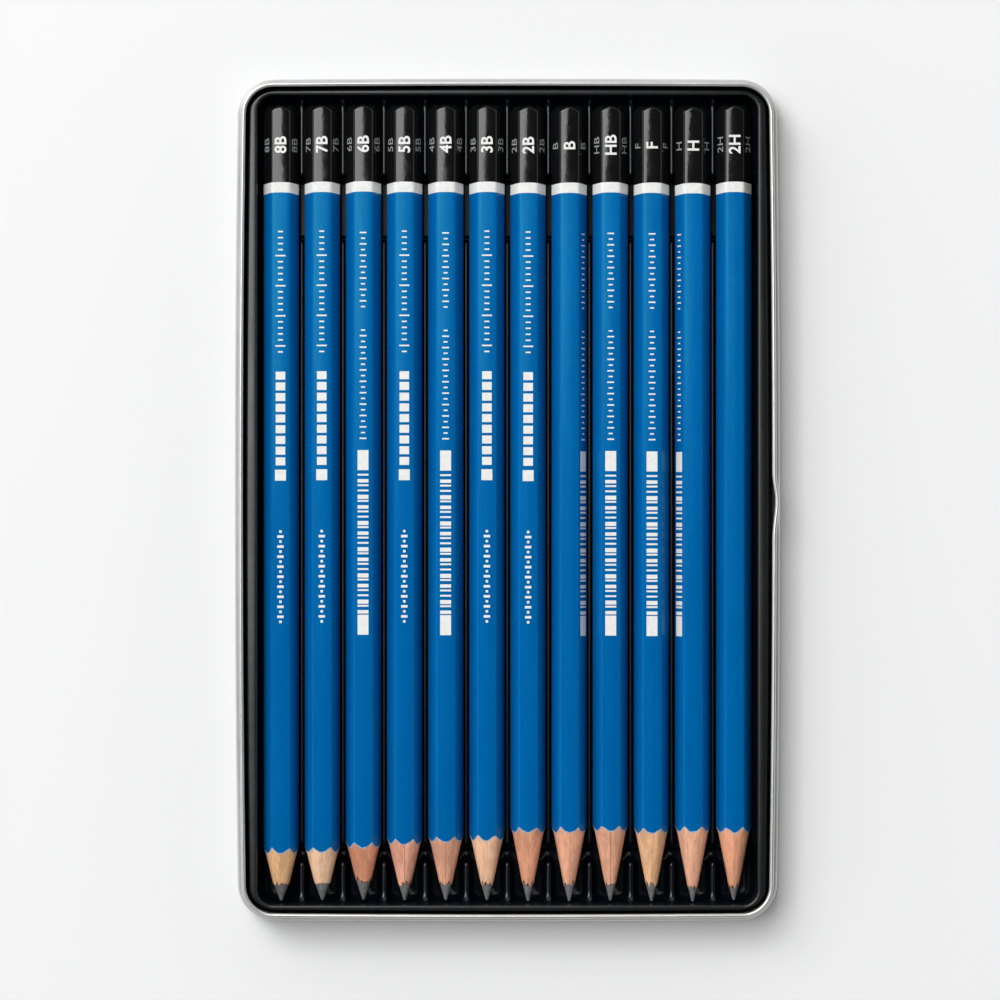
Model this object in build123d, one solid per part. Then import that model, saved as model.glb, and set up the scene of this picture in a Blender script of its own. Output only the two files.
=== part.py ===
from build123d import *
import math
import os

# An open drawn-metal tin with a moulded insert tray that holds twelve sharpened graphite
# pencils. Millimetres, +Z up. The origin lies under the middle of the tin, on the surface
# that it stands on. +X is to the right and +Y points to the dipped ends of the pencils.

# Pencils, all of one hexagonal section
pencil_length = 175.0
across_flats = 6.9
corner_blunting = 0.3
lacquer_thickness = 0.1
dip_length = 18.8
cap_end_thickness = 0.6
cap_end_chamfer = 0.5

# Sides of every round section of a pencil, few because there are so many pencils
round_sides = 18

# Hardness grade, lead diameter, cone length from the tip to the lacquer at mid facet,
# diameter of the blunt tip, and how far the pencil has slid toward the caps
pencils = (
    ("8b", 3.6, 10.2, 1.4, 0.0),
    ("7b", 3.6, 10.3, 1.3, 0.1),
    ("6b", 3.5, 11.2, 1.0, 0.2),
    ("5b", 2.9, 12.1, 0.9, 0.1),
    ("4b", 2.9, 12.6, 0.9, 0.1),
    ("3b", 2.8, 13.0, 0.9, 0.1),
    ("2b", 2.6, 15.0, 0.9, -0.1),
    ("b", 2.5, 15.0, 0.9, -0.1),
    ("hb", 2.5, 15.2, 0.9, 0.0),
    ("f", 2.5, 14.8, 0.9, -0.1),
    ("h", 2.3, 15.2, 0.8, -0.2),
    ("2h", 2.3, 14.8, 0.9, 0.1),
)

# Insert tray, formed from one sheet of plastic
tray_sheet = 0.35
rib_top_width = 1.0
rib_height = 2.6
rib_draft = 12.0
rib_side_clearance = 0.195
rib_setback = 1.0
rib_wall_gap = 1.5
tip_rib_setback = 3.1
cradle_depth = 7.3
trough_depth = 1.4
cradle_edge_draft = 20.0
cradle_edge_radius = 0.6
cap_cradle_length = 18.4
finger_trough_length = 12.7
tip_trough_length = 12.1
well_side_margin = 0.6
cap_clearance = 2.1
tip_clearance = 0.8
well_corner_radius = 3.5
well_draft = 5.0
well_floor_radius = 1.0
well_edge_radius = 0.5
flange_side_width = 2.3
flange_end_width = 1.15
flange_corner_radius = 6.0
flange_lip_depth = 1.4
flange_edge_chamfer = 0.5

# How near two places are taken for the same when an edge is picked out
same_place = 0.01

# Tin, drawn from one sheet of steel, its rim rolled inward
tin_sheet = 0.3
rim_above_flange = 1.6
tray_edge_clearance = 0.6
curl_diameter = 1.0
curl_step_angle = 45
shoulder_step = 1.15
shoulder_height = 5.0
shoulder_chamfer = 0.4
tin_corner_radius = 8.0
tin_floor_radius = 1.5
bump_length = 12.0
bump_height = 0.7
bump_blend_radius = 12.0

# Pencil row, worked out from the section of the pencils
pencil_count = len(pencils)
across_corners = across_flats / math.cos(math.radians(30)) - corner_blunting
pitch = across_corners + rib_top_width + 2 * rib_side_clearance

# Tray, built outward from the pencil row
well_width = pencil_count * pitch + 2 * well_side_margin
well_length = pencil_length + cap_clearance + tip_clearance
flange_width = well_width + 2 * flange_side_width
flange_length = well_length + 2 * flange_end_width
trough_floor = tin_sheet + tray_sheet
cradle_floor = trough_floor + trough_depth
tray_top = cradle_floor + cradle_depth
rib_top = cradle_floor + rib_height
cap_wall_y = well_length / 2
tip_wall_y = -well_length / 2
finger_trough_back_y = cap_wall_y - cap_cradle_length
finger_trough_front_y = finger_trough_back_y - finger_trough_length
tip_trough_y = tip_wall_y + tip_trough_length

# Tin, built outward from the tray
rim_build_up = tray_edge_clearance + curl_diameter + shoulder_step
tin_width = flange_width + 2 * rim_build_up
tin_length = flange_length + 2 * rim_build_up
tin_height = tray_top + rim_above_flange
curl_radius = curl_diameter / 2

# Pencil axis and the place of the cap ends
axis_height = cradle_floor + across_flats / 2
cap_end_y = cap_wall_y - cap_clearance


# Tin

def body_outline(inset):
    """Outline of the tin below the shoulder, moved in by inset."""
    return RectangleRounded(
        tin_width - 2 * inset,
        tin_length - 2 * inset,
        tin_corner_radius - inset,
    )


def neck_outline(inset):
    """Outline of the neck above the shoulder, with the snap bump in its right side."""
    side_x = tin_width / 2 - shoulder_step
    bulge_radius = ((bump_length / 2) ** 2 + bump_height**2) / (2 * bump_height)
    bulge = Pos(side_x + bump_height - bulge_radius, 0) * Circle(bulge_radius - inset)
    window = Pos(side_x, 0) * Rectangle(2 * bump_length, 2 * bump_length)
    both = body_outline(shoulder_step + inset) + (bulge & window)
    corners = [v for v in both.vertices() if abs(v.Y) < bump_length and v.X > side_x / 2]
    return fillet(corners, bump_blend_radius + inset)


def neck_section():
    """Section of the neck and its rolled rim, from the neck's outer face at x = 0."""
    foot = shoulder_height - tin_sheet
    axis_z = tin_height - curl_radius
    inner = curl_radius - tin_sheet
    roll = [math.radians(angle) for angle in range(0, 271, curl_step_angle)]
    outer_side = [
        (-curl_radius + curl_radius * math.cos(a), axis_z + curl_radius * math.sin(a)) for a in roll
    ]
    inner_side = [
        (-curl_radius, axis_z - inner),
        (-curl_radius - inner, axis_z),
        (-curl_radius, axis_z + inner),
        (-tin_sheet, axis_z),
    ]
    corners = [(0, foot)] + outer_side + inner_side + [(-tin_sheet, foot)]
    return make_face(Polyline(*corners, close=True))


def neck():
    """Neck wall and rolled rim, swept once round the neck outline."""
    path = neck_outline(0).wire()
    start = path @ 0
    along = path % 0
    outward = along.cross(Vector(0, 0, 1))
    if outward.dot(start) < 0:
        outward = outward * -1
    plane = Plane(origin=start, x_dir=outward, z_dir=outward.cross(Vector(0, 0, 1)))
    return sweep(plane * neck_section(), path=path)


def tin_base():
    """Drawn tin: pan, shoulder for the lid, neck and rolled rim in one sheet."""
    pan = extrude(body_outline(0), shoulder_height)
    pan = fillet(pan.edges().group_by(Axis.Z)[0], tin_floor_radius)
    pan = chamfer(pan.edges().group_by(Axis.Z)[-1], shoulder_chamfer)
    inside = Pos(0, 0, tin_sheet) * extrude(body_outline(tin_sheet), shoulder_height - 2 * tin_sheet)
    inside = chamfer(inside.edges().group_by(Axis.Z)[0], tin_floor_radius - tin_sheet)
    mouth = Pos(0, 0, tin_sheet) * extrude(neck_outline(tin_sheet / 2), shoulder_height)
    return pan - inside - mouth + neck()


# Insert tray

def soften(edges, radius, grow):
    """Round what shows, and bevel the hidden underside of the sheet."""
    return chamfer(edges, radius / 2) if grow > 0 else fillet(edges, radius)


def well_block(grow):
    """Space inside the well, or with grow the outside of its sheet."""
    mouth = RectangleRounded(
        well_width + 2 * grow,
        well_length + 2 * grow,
        well_corner_radius + grow,
    )
    depth = tray_top - trough_floor + grow
    block = extrude(Pos(0, 0, tray_top) * Rot(180, 0, 0) * mouth, depth, taper=well_draft)
    return soften(block.edges().group_by(Axis.Z)[0], well_floor_radius, grow)


def cradle_platform(front_y, back_y, grow):
    """Raised floor that carries the pencils, with sloped front and back edges."""
    foot = trough_floor - trough_depth
    run = (cradle_floor - foot) * math.tan(math.radians(cradle_edge_draft))
    profile = make_face(Polyline(
        (front_y - run, foot),
        (front_y, cradle_floor),
        (back_y, cradle_floor),
        (back_y + run, foot),
        close=True,
    ))
    if grow > 0:
        profile = offset(profile, -grow, kind=Kind.INTERSECTION)
    profile = soften(profile.vertices().group_by(Axis.Y)[-1], cradle_edge_radius, grow)
    return extrude(Plane.YZ * profile, well_width, both=True)


def rib(x, front_y, back_y, grow):
    """Drafted rib between two pencils."""
    width = rib_top_width - 2 * grow
    length = back_y - front_y - 2 * grow
    rise = rib_top - trough_floor + tray_sheet
    run = rise * math.tan(math.radians(rib_draft))
    block = Wedge(
        width + 2 * run,
        rise,
        length + 2 * run,
        run,
        run,
        run + width,
        run + length,
    )
    return Pos(x, (front_y + back_y) / 2, rib_top - grow - rise / 2) * Rot(90, 0, 0) * block


def tip_rib(x, grow):
    """Short rib between two tips, which grows out of the end wall."""
    front_y = tip_trough_y - tip_rib_setback
    beyond_y = tip_wall_y - 2 * tray_sheet
    return rib(x, beyond_y, front_y, grow)


def side_ledge(side, grow):
    """Step along a side wall that stands in for the outermost rib."""
    reach = well_side_margin + rib_top_width / 2 - grow
    wide = well_width / 2
    buried = wide + 2 * tray_sheet
    foot = trough_floor - trough_depth
    rise = rib_top - grow - foot
    run = rise * math.tan(math.radians(rib_draft))
    profile = make_face(Polyline(
        (buried, foot),
        (wide - reach - run, foot),
        (wide - reach, foot + rise),
        (buried, foot + rise),
        close=True,
    ))
    spans = (
        (tip_trough_y + rib_setback, finger_trough_front_y - rib_setback),
        (finger_trough_back_y + rib_setback, cap_wall_y - rib_wall_gap),
    )
    ledges = []
    for front_y, back_y in spans:
        bar = extrude(Plane.XZ * profile, -(back_y - front_y - 2 * grow))
        bar = Pos(0, front_y + grow, 0) * bar
        ledges.append(bar if side > 0 else mirror(bar, Plane.YZ))
    return ledges


def raised_forms(grow):
    """Everything that stands up from the trough floor, shrunk by grow for its underside."""
    forms = [
        cradle_platform(tip_trough_y, finger_trough_front_y, grow),
        cradle_platform(finger_trough_back_y, cap_wall_y + well_corner_radius, grow),
    ]
    forms += side_ledge(1, grow) + side_ledge(-1, grow)
    for i in range(1, pencil_count):
        x = (i - pencil_count / 2) * pitch
        forms.append(rib(x, tip_trough_y + rib_setback, finger_trough_front_y - rib_setback, grow))
        forms.append(rib(x, finger_trough_back_y + rib_setback, cap_wall_y - rib_wall_gap, grow))
        forms.append(tip_rib(x, grow))
    return forms


def insert_tray():
    """Moulded tray: flange with a turned-down lip, drafted well, troughs, cradles and ribs."""
    rim = RectangleRounded(flange_width, flange_length, flange_corner_radius)
    rim = Pos(0, 0, tray_top - flange_lip_depth) * extrude(rim, flange_lip_depth)
    rim = chamfer(rim.edges().group_by(Axis.Z)[-1], flange_edge_chamfer)
    under = RectangleRounded(
        flange_width - 2 * tray_sheet,
        flange_length - 2 * tray_sheet,
        flange_corner_radius - tray_sheet,
    )
    under = Pos(0, 0, tray_top - flange_lip_depth) * extrude(under, flange_lip_depth - tray_sheet)
    under = chamfer(under.edges().group_by(Axis.Z)[-1], flange_edge_chamfer)
    outside = well_block(tray_sheet) - raised_forms(tray_sheet)
    space = well_block(0) - raised_forms(0)
    tray = rim - under + outside - space
    mouth = [e for e in tray.edges().group_by(Axis.Z)[-1] if is_mouth_edge(e)]
    return fillet(mouth, well_edge_radius)


def is_mouth_edge(edge):
    """True for an edge of the well's mouth, and false for the flat part's outer edge."""
    middle = edge @ 0.5
    within_x = abs(middle.X) < well_width / 2 + same_place
    within_y = abs(middle.Y) < well_length / 2 + same_place
    return within_x and within_y


# Pencils, built along +Z from the cap end and laid down afterwards

def hexagon(flats):
    """Hexagon with blunted corners, a corner on the X axis and flats square to Y."""
    sharp = RegularPolygon(flats / 2, 6, major_radius=False)
    return chamfer(sharp.vertices(), corner_blunting)


def many_sided(diameter):
    """Round section drawn with a fixed number of sides."""
    return RegularPolygon(diameter / 2, round_sides, rotation=180 / round_sides)


def sharpened_envelope(cone_length, tip_diameter):
    """Solid that leaves only the cone of a sharpened pencil."""
    wide = 2 * across_flats
    cone = cone_length * (wide - tip_diameter) / (across_flats - tip_diameter)
    rings = []
    for z, diameter in ((0, wide), (pencil_length - cone, wide), (pencil_length, tip_diameter)):
        rings.append([(p.X, p.Y, z) for p in many_sided(diameter).vertices().sort_by(around_z)])
    panels = [ring_face(rings[0]), ring_face(rings[-1])]
    for lower, upper in zip(rings, rings[1:]):
        for i in range(round_sides):
            k = (i + 1) % round_sides
            panels.append(ring_face([lower[i], lower[k], upper[k], upper[i]]))
    return Solid(Shell(panels))


def around_z(point):
    """Angle of a point round the Z axis."""
    return math.atan2(point.Y, point.X)


def ring_face(points):
    """Flat face through a closed ring of points."""
    return make_face(Polyline(*points, close=True)).face()


def wood_section():
    """Section of the wood under the lacquer."""
    return hexagon(across_flats - 2 * lacquer_thickness)


def pencil_casing(lead_diameter, envelope):
    """Two glued slats of wood, each with half of the groove for the lead."""
    section = wood_section() - many_sided(lead_diameter)
    blank = Pos(0, 0, cap_end_thickness) * extrude(section, pencil_length)
    wood = blank & envelope
    slats = [split(wood, Plane.YZ, keep=keep) for keep in (Keep.TOP, Keep.BOTTOM)]
    return Compound([slat.solid() for slat in slats])


def pencil_lead(lead_diameter, envelope):
    """Lead, sharpened with the wood."""
    rod = Pos(0, 0, cap_end_thickness) * extrude(many_sided(lead_diameter), pencil_length)
    return rod & envelope


def pencil_lacquer(envelope):
    """Coat of lacquer from the dip to the scalloped edge of the cone."""
    coat = hexagon(across_flats) - wood_section()
    return (Pos(0, 0, dip_length) * extrude(coat, pencil_length)) & envelope


def pencil_dip():
    """Dipped end: the rounded cap and the narrow ring beside it, in one coat."""
    coat = extrude(hexagon(across_flats), dip_length)
    coat = chamfer(coat.edges().group_by(Axis.Z)[0], cap_end_chamfer)
    return coat - Pos(0, 0, cap_end_thickness) * extrude(wood_section(), dip_length)


def pencil_pieces(grade, lead_diameter, cone_length, tip_diameter, slide, index):
    """The four pieces of one pencil, laid in its cradle."""
    envelope = sharpened_envelope(cone_length, tip_diameter)
    x = (index - (pencil_count - 1) / 2) * pitch
    place = Pos(x, cap_end_y + slide, axis_height) * Rot(90, 0, 0)
    name = "pencil_" + grade
    return {
        name + "_casing": place * pencil_casing(lead_diameter, envelope),
        name + "_lead": place * pencil_lead(lead_diameter, envelope),
        name + "_lacquer": place * pencil_lacquer(envelope),
        name + "_dip": place * pencil_dip(),
    }


def build_all():
    """Every piece of the part by name."""
    pieces = {"tin_base": tin_base(), "insert_tray": insert_tray()}
    for index, (grade, lead, cone, tip, slide) in enumerate(pencils):
        pieces.update(pencil_pieces(grade, lead, cone, tip, slide, index))
    return pieces


os.makedirs("parts", exist_ok=True)
for node, shape in build_all().items():
    export_step(shape, os.path.join("parts", node + ".step"))
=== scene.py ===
import math

import bmesh
import bpy
from mathutils import Matrix, Vector, noise


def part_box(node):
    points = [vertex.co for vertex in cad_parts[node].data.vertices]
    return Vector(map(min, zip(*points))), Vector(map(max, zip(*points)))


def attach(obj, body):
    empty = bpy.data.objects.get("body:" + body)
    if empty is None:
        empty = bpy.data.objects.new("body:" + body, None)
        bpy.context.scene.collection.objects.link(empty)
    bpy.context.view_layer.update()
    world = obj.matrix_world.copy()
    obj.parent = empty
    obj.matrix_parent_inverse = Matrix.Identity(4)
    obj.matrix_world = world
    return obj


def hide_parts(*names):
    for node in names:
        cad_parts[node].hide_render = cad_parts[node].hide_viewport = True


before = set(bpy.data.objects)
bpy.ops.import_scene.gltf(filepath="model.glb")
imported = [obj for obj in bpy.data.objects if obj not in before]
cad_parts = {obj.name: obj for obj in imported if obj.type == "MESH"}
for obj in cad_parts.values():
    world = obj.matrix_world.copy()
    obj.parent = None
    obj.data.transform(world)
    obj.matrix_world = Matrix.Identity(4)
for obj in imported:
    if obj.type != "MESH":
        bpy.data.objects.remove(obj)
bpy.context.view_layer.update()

bl_info = {
    "name": "Pencil Tin",
    "version": (1, 0, 0),
    "blender": (4, 5, 0),
    "location": "View3D > Sidebar > Pencil Tin",
    "description": "Dresses an open tin of sharpened graphite pencils",
    "category": "Object",
}

MM = 0.001
GRADES = ("8b", "7b", "6b", "5b", "4b", "3b", "2b", "b", "hb", "f", "h", "2h")

# Printed marks of the casings: each row's start and end from the cap in millimetres, the
# step between marks, then the lengths and heights that its marks go through
MARK_ROWS = {
    "scale": (
        (27.8, 54.3, 1.32, (0.32,), (1.1, 1.1, 1.1, 1.1, 2.2)),
        (58.7, 79.0, 2.35, (1.75,), (2.1,)),
        (80.2, 82.6, 2.4, (2.4,), (2.4,)),
        (93.5, 113.8, 1.1, (0.55,), (0.55, 1.4)),
    ),
    "bars": (
        (28.2, 44.6, 1.25, (0.32,), (1.5, 0.9)),
        (49.6, 73.7, 1.25, (0.32,), (0.9, 1.5)),
        (76.1, 80.5, 4.4, (4.4,), (2.4,)),
        (81.3, 111.6, 1.15, (0.4, 0.75, 0.4, 0.4, 0.9), (2.4,)),
        (112.2, 116.6, 4.4, (4.4,), (2.4,)),
    ),
}

# Which casings have which marks, and those whose marks aren't on the top facet but on the
# next one to the right, 1, or to the left, -1
MARKED = {
    "scale": ("8b", "7b", "5b", "3b", "2b"),
    "bars": ("6b", "4b", "b", "hb", "f", "h"),
}
TURNED = {"b": 1, "h": -1}

# Tone of each pencil's wood, and how strongly its glue line shows
WOOD = {
    "8b": ((0.78, 0.46, 0.24), 0.1),
    "7b": ((0.78, 0.50, 0.32), 0.1),
    "6b": ((0.68, 0.29, 0.17), 0.1),
    "5b": ((0.76, 0.37, 0.25), 0.8),
    "4b": ((0.74, 0.37, 0.24), 0.7),
    "3b": ((0.80, 0.48, 0.31), 0.1),
    "2b": ((0.72, 0.33, 0.20), 0.2),
    "b": ((0.76, 0.38, 0.24), 0.2),
    "hb": ((0.77, 0.39, 0.25), 0.8),
    "f": ((0.79, 0.45, 0.25), 0.3),
    "h": ((0.79, 0.42, 0.27), 0.2),
    "2h": ((0.75, 0.35, 0.21), 0.4),
}

# Squared share of a side's half length at which its bow turns from swelling to drawing in
BOW_TURN = 0.15

# Where the tray's grid has its lines: millimetres from a rib's axis or end, and from the
# edge of a trough
RIB_LINES = (0, 0.22, 0.4, 0.5, 0.62, 0.85, 1.15, 1.6)
EDGE_LINES = (0, 0.15, 0.35, 0.6, 0.9)

# How fine the sharpener's ragged edges are, in waves to the metre, and the size and depth
# of the jags where the wood meets the lead
RAG_SIZE = 900
JAGS = ((1500, 1.5 * MM), (3600, 0.9 * MM))

# Thickness of the printed ink, and the font size that gives capitals one unit high
INK = 0.016 * MM
FONT_SIZE = 1.37

# The two lamps: name, place, the point that each shines at, and size, in metres
LAMPS = (
    ("softbox", (-1.0, 1.34, 3.0), (-1.0, 1.34, 0.0), (1.8, 2.92)),
    ("window", (-1.9, 1.9, 2.4), (0.0, 0.0, 0.0), (1.6, 1.6)),
)

# Light from round the room: its level at three heights of the sky, the brightest side, and
# the shares that the dimmest and the brightest side give
SKY = ((0.3, 1.0), (0.55, 0.3), (0.92, 0.007))
BRIGHT_SIDE = (-0.6, 0.8, 0.0)
SIDE_SHARES = (0.55, 1.1)


def length(name, description, millimetres, low=0.0):
    """A length property, given in millimetres and held in metres."""
    return bpy.props.FloatProperty(
        name=name,
        description=description,
        default=millimetres * MM,
        min=low * MM,
        precision=5,
        subtype="DISTANCE",
        unit="LENGTH",
    )


def amount(name, description, default):
    """A plain number property."""
    return bpy.props.FloatProperty(name=name, description=description, default=default, min=0.0)


def colour(name, description, default):
    """A colour property."""
    return bpy.props.FloatVectorProperty(
        name=name,
        description=description,
        default=default,
        min=0.0,
        max=1.0,
        size=3,
        subtype="COLOR",
    )


class TinSettings(bpy.types.PropertyGroup):
    """Sizes and finish of the drawn tin."""

    curl: length("Curl", "Diameter of the rolled rim", 1.0)
    sheet: length("Sheet", "Thickness of the steel", 0.3)
    step: length("Shoulder step", "Width of the ledge outside the neck", 1.15)
    shoulder: length("Shoulder height", "Height of that ledge above the table", 5.0)
    corner: length("Corner radius", "Radius of the tin's corners", 8.0)
    shoulder_edge: length("Shoulder edge", "Rounding of the ledge's outer edge", 0.4)
    shoulder_nook: length("Shoulder nook", "Fillet from the ledge to the neck", 0.2)
    shoulder_fall: length("Shoulder fall", "From the ledge's top to its edge's centre", 0.78)
    shoulder_under: length("Shoulder underside", "How far the ledge falls inside", 0.55)
    foot: length("Foot radius", "Radius round the floor", 1.5)
    side_bow: length("Side bow", "How far the long sides swell from their ends", 0.8)
    end_bow: length("End bow", "How far the short sides swell from their ends", 0.3)
    bump_rear: length("Bump rear", "How far the snap bump runs towards the caps", 5.8)
    bump_front: length("Bump front", "How far the snap bump runs towards the points", 8.6)
    bump_height: length("Bump height", "How far the snap bump stands out", 0.65)
    steel: colour("Steel", "Colour of the bright tinplate", (0.61, 0.61, 0.6))


class TraySettings(bpy.types.PropertyGroup):
    """Sizes and finish of the moulded tray."""

    sheet: length("Sheet", "Thickness of the plastic", 0.35)
    flange_side: length("Side flange", "Width of the flange along the long sides", 2.3)
    flange_end: length("End flange", "Width of the flange along the short sides", 1.15)
    corner: length("Corner radius", "Radius of the well's corners", 3.5)
    mouth: length("Mouth radius", "Rounding from the flange into the well", 0.4)
    fillet: length("Floor fillet", "Fillet between the floor and the walls", 2.2)
    lip: length("Lip radius", "Rounding of the flange's outer edge", 0.5)
    lip_drop: length("Lip drop", "How far the turned-down lip reaches below the flange", 5.2)
    lip_flare: length("Lip flare", "How far the lip leans outwards", 1.1)
    rib_top: length("Rib top", "Height of the ribs' tops above the table", 4.65)
    long_drop: length("Long rib drop", "How much lower the ribs along the casings are", 0.3)
    rib_width: length("Rib width", "Width of the ribs' tops", 1.0)
    rib_crown: length("Rib crown", "How far a rib's top falls to its edges", 0.14)
    rib_gap: length("Rib gap", "From a rib's end to the edge of its cradle", 1.0)
    rib_foot: length("Rib foot", "How far a point rib widens at the wall", 0.6)
    ledge: length("Ledge", "Width of the ledge along each side", 1.1)
    tip_trough: length("Point trough", "Length of the low floor under the points", 12.1)
    tip_rib_gap: length("Point rib gap", "From a point rib's end to the long cradle", 3.1)
    cap_cradle: length("Cap cradle", "Length of the raised floor under the caps", 18.4)
    finger: length("Finger trough", "Length of the low floor beside the caps", 12.7)
    trough: length("Trough floor", "Height of the low floors", 0.65)
    cradle: length("Cradle floor", "Height of the floors under the pencils", 2.05)
    edge: length("Edge softness", "Rounding of the formed edges", 0.45)
    plastic: colour("Plastic", "Colour of the tray", (0.01, 0.0105, 0.0115))
    # Painted shade: the darker colour that the tray takes low in its troughs
    depth: colour("Depth", "Colour of the tray down in its troughs", (0.002, 0.0035, 0.007))


class PencilSettings(bpy.types.PropertyGroup):
    """Sizes and finish of the pencils."""

    corner: length("Corner radius", "Radius of the casing's corners", 0.65)
    crown: length("Facet crown", "How far a facet swells in its middle", 0.035)
    coat: length("Lacquer", "Thickness of the lacquer", 0.1)
    ring: length("Ring", "Width of the white ring", 2.25)
    ring_shift: length("Ring shift", "How far the ring's paint laps over the lacquer", 0.55)
    droop: length("Droop", "How far the dipped edges run down at the sides", 0.3)
    dome: length("Dome", "Length of the rounding at the dipped end", 1.3)
    sag: length("Sag", "How far the dipped end falls back at its corners", 0.9)
    blunt: length("Blunt point", "Radius of the point", 0.3)
    lead_cut: length("Lead cut", "How far the wood reaches past its solid", 0.4)
    cut_back: length("Cut back", "How far the lacquer stops short of its solid", 0.75)
    letter: length("Letters", "Height of the grade marks", 2.6)
    bold: length("Bold", "How much heavier the grade on the top facet is", 0.07)
    mark_place: length("Mark place", "From the cap's end to the middle of its grade", 8.9)
    lacquer: colour("Lacquer colour", "Colour of the casing", (0.0, 0.128, 0.4))
    primer: colour("Primer", "Undercoat that shows at the cut edge", (0.42, 0.55, 0.68))
    dip: colour("Dip colour", "Colour of the dipped ends", (0.006, 0.006, 0.0065))
    band: colour("Ring colour", "Colour of the rings and printed marks", (0.85, 0.85, 0.83))
    faint: colour("Faint ink", "Colour of the thin ink on the side facets", (0.4, 0.4, 0.4))
    graphite: colour("Graphite", "Colour of the points", (0.2, 0.2, 0.2))
    shoulder: amount("Shoulder slope", "How far the cut edge runs back for each step out", 2.7)


class StageSettings(bpy.types.PropertyGroup):
    """Camera, floor and lamps."""

    camera_height: length("Camera height", "Height of the camera above the table", 950.0, 200.0)
    view_width: length("View width", "What the picture spans at the pencils' height", 220.2)
    view_x: length("View centre", "Middle of the picture across the pencils", -1.65, -50.0)
    floor: colour("Floor", "Colour of the table", (0.91, 0.91, 0.915))
    softbox: amount("Softbox", "Power of the softbox overhead on the left, in watts", 86.0)
    window: amount("Window", "Power of the lower lamp at the upper left, in watts", 34.0)
    fill: amount("Fill", "Strength of the light from round the horizon", 1.25)


def add_object(name, data):
    """Links a new object that holds a mesh, a lamp or a camera."""
    thing = bpy.data.objects.new(name, data)
    bpy.context.scene.collection.objects.link(thing)
    return thing


def add_piece(name, bm, sharp_angle, body, material, slot, *replaced):
    """Turns a bmesh into a smooth-shaded piece that rides on a body of the model."""
    mesh = bpy.data.meshes.new(name)
    bm.to_mesh(mesh)
    bm.free()
    mesh.shade_smooth()
    mesh.set_sharp_from_angle(angle=math.radians(sharp_angle))
    mesh.materials.append(material)
    piece = add_object(name, mesh)
    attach(piece, body)
    if replaced:
        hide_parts(*replaced)
    return piece


def soft_min(a, b, reach):
    """The smaller of two heights, rounded over where they cross."""
    share = max(reach - abs(a - b), 0.0) / reach
    return min(a, b) - share * share * reach / 4


def soft_max(a, b, reach):
    """The larger of two heights, with a fillet where they cross."""
    return -soft_min(-a, -b, reach)


# Shader helpers

class Nodes:
    """A node tree under construction."""

    def __init__(self, tree):
        self.tree = tree

    def add(self, kind, inputs=(), **properties):
        """Adds a node, sets its properties and then its input sockets."""
        node = self.tree.nodes.new(kind)
        for name, value in properties.items():
            setattr(node, name, value)
        for socket, value in dict(inputs).items():
            node.inputs[socket].default_value = value
        return node

    def link(self, source, target):
        """Joins an output to an input."""
        self.tree.links.new(source, target)


def stretched_noise():
    """Shared node group: noise over the object, with a scale for each axis."""
    tree = bpy.data.node_groups.get("stretched_noise")
    if tree:
        return tree
    tree = bpy.data.node_groups.new("stretched_noise", "ShaderNodeTree")
    for name, kind in (("Scale", "Vector"), ("Detail", "Float"), ("Roughness", "Float")):
        tree.interface.new_socket(name, in_out="INPUT", socket_type="NodeSocket" + kind)
    tree.interface.new_socket("Value", in_out="OUTPUT", socket_type="NodeSocketFloat")
    group = Nodes(tree)
    given = group.add("NodeGroupInput")
    result = group.add("NodeGroupOutput")
    where = group.add("ShaderNodeTexCoord")
    stretch = group.add("ShaderNodeVectorMath", operation="MULTIPLY")
    texture = group.add("ShaderNodeTexNoise", {"Scale": 1.0})
    group.link(where.outputs["Object"], stretch.inputs[0])
    group.link(given.outputs["Scale"], stretch.inputs[1])
    group.link(stretch.outputs["Vector"], texture.inputs["Vector"])
    for name in ("Detail", "Roughness"):
        group.link(given.outputs[name], texture.inputs[name])
    group.link(texture.outputs["Fac"], result.inputs["Value"])
    return tree


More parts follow.
